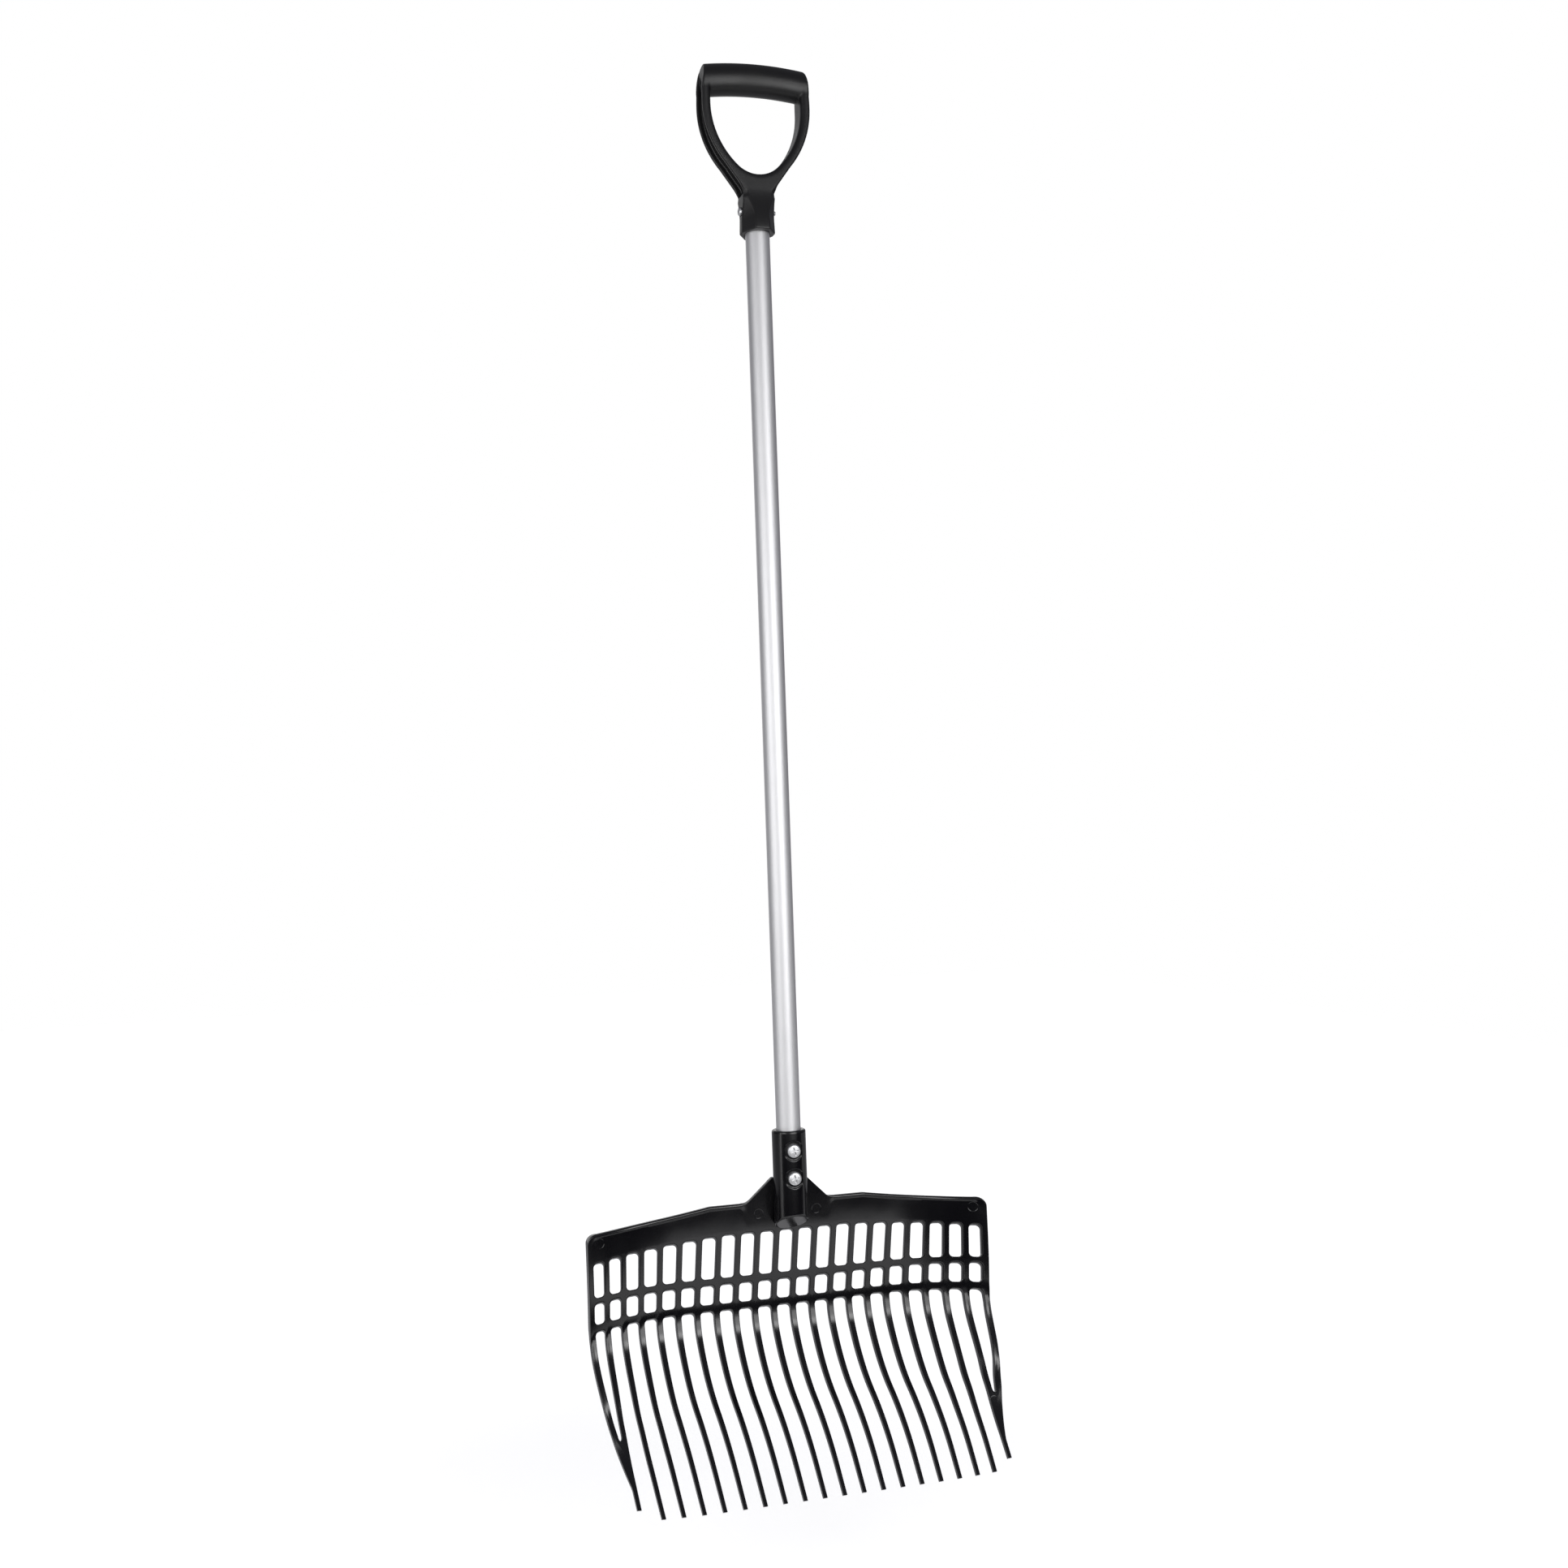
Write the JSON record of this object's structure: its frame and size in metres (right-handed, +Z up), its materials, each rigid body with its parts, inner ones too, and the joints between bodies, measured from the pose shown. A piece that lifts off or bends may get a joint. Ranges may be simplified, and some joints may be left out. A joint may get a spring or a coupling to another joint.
{
  "type": "manure fork",
  "caption": "Long-handled manure fork: a slotted basket head of moulded plastic with curved tines, bolted to an aluminium tube that carries a D-grip.",
  "frame": {"origin": "on the shaft axis, at the mouth of the head's socket", "axes": "+Z up the shaft to the grip, +X across the fork, and the load side, with the bolt heads, faces -Y"},
  "size_m": [0.3728, 0.1414, 1.256],
  "materials": {
    "head_plastic": "glossy black moulding",
    "grip_plastic": "satin black with a fine grain",
    "tube_metal": "satin anodised",
    "fastener_metal": "bright zinc plate"
  },
  "bodies": {
    "root": {"d_grip": "grip_plastic", "grip_screw": "fastener_metal", "shaft_tube": "tube_metal", "fork_head": "head_plastic", "head_bolt_upper": "fastener_metal", "head_bolt_lower": "fastener_metal", "head_nut_upper": "fastener_metal", "head_nut_lower": "fastener_metal", "side_bar_left": "head_plastic", "side_bar_right": "head_plastic", "tine_01": "head_plastic", "tine_02": "head_plastic", "tine_03": "head_plastic", "tine_04": "head_plastic", "tine_05": "head_plastic", "tine_06": "head_plastic", "tine_07": "head_plastic", "tine_08": "head_plastic", "tine_09": "head_plastic", "tine_10": "head_plastic", "tine_11": "head_plastic", "tine_12": "head_plastic", "tine_13": "head_plastic", "tine_14": "head_plastic", "tine_15": "head_plastic", "tine_16": "head_plastic", "tine_17": "head_plastic", "tine_18": "head_plastic", "tine_19": "head_plastic", "tine_20": "head_plastic"}
  },
  "joints": []
}
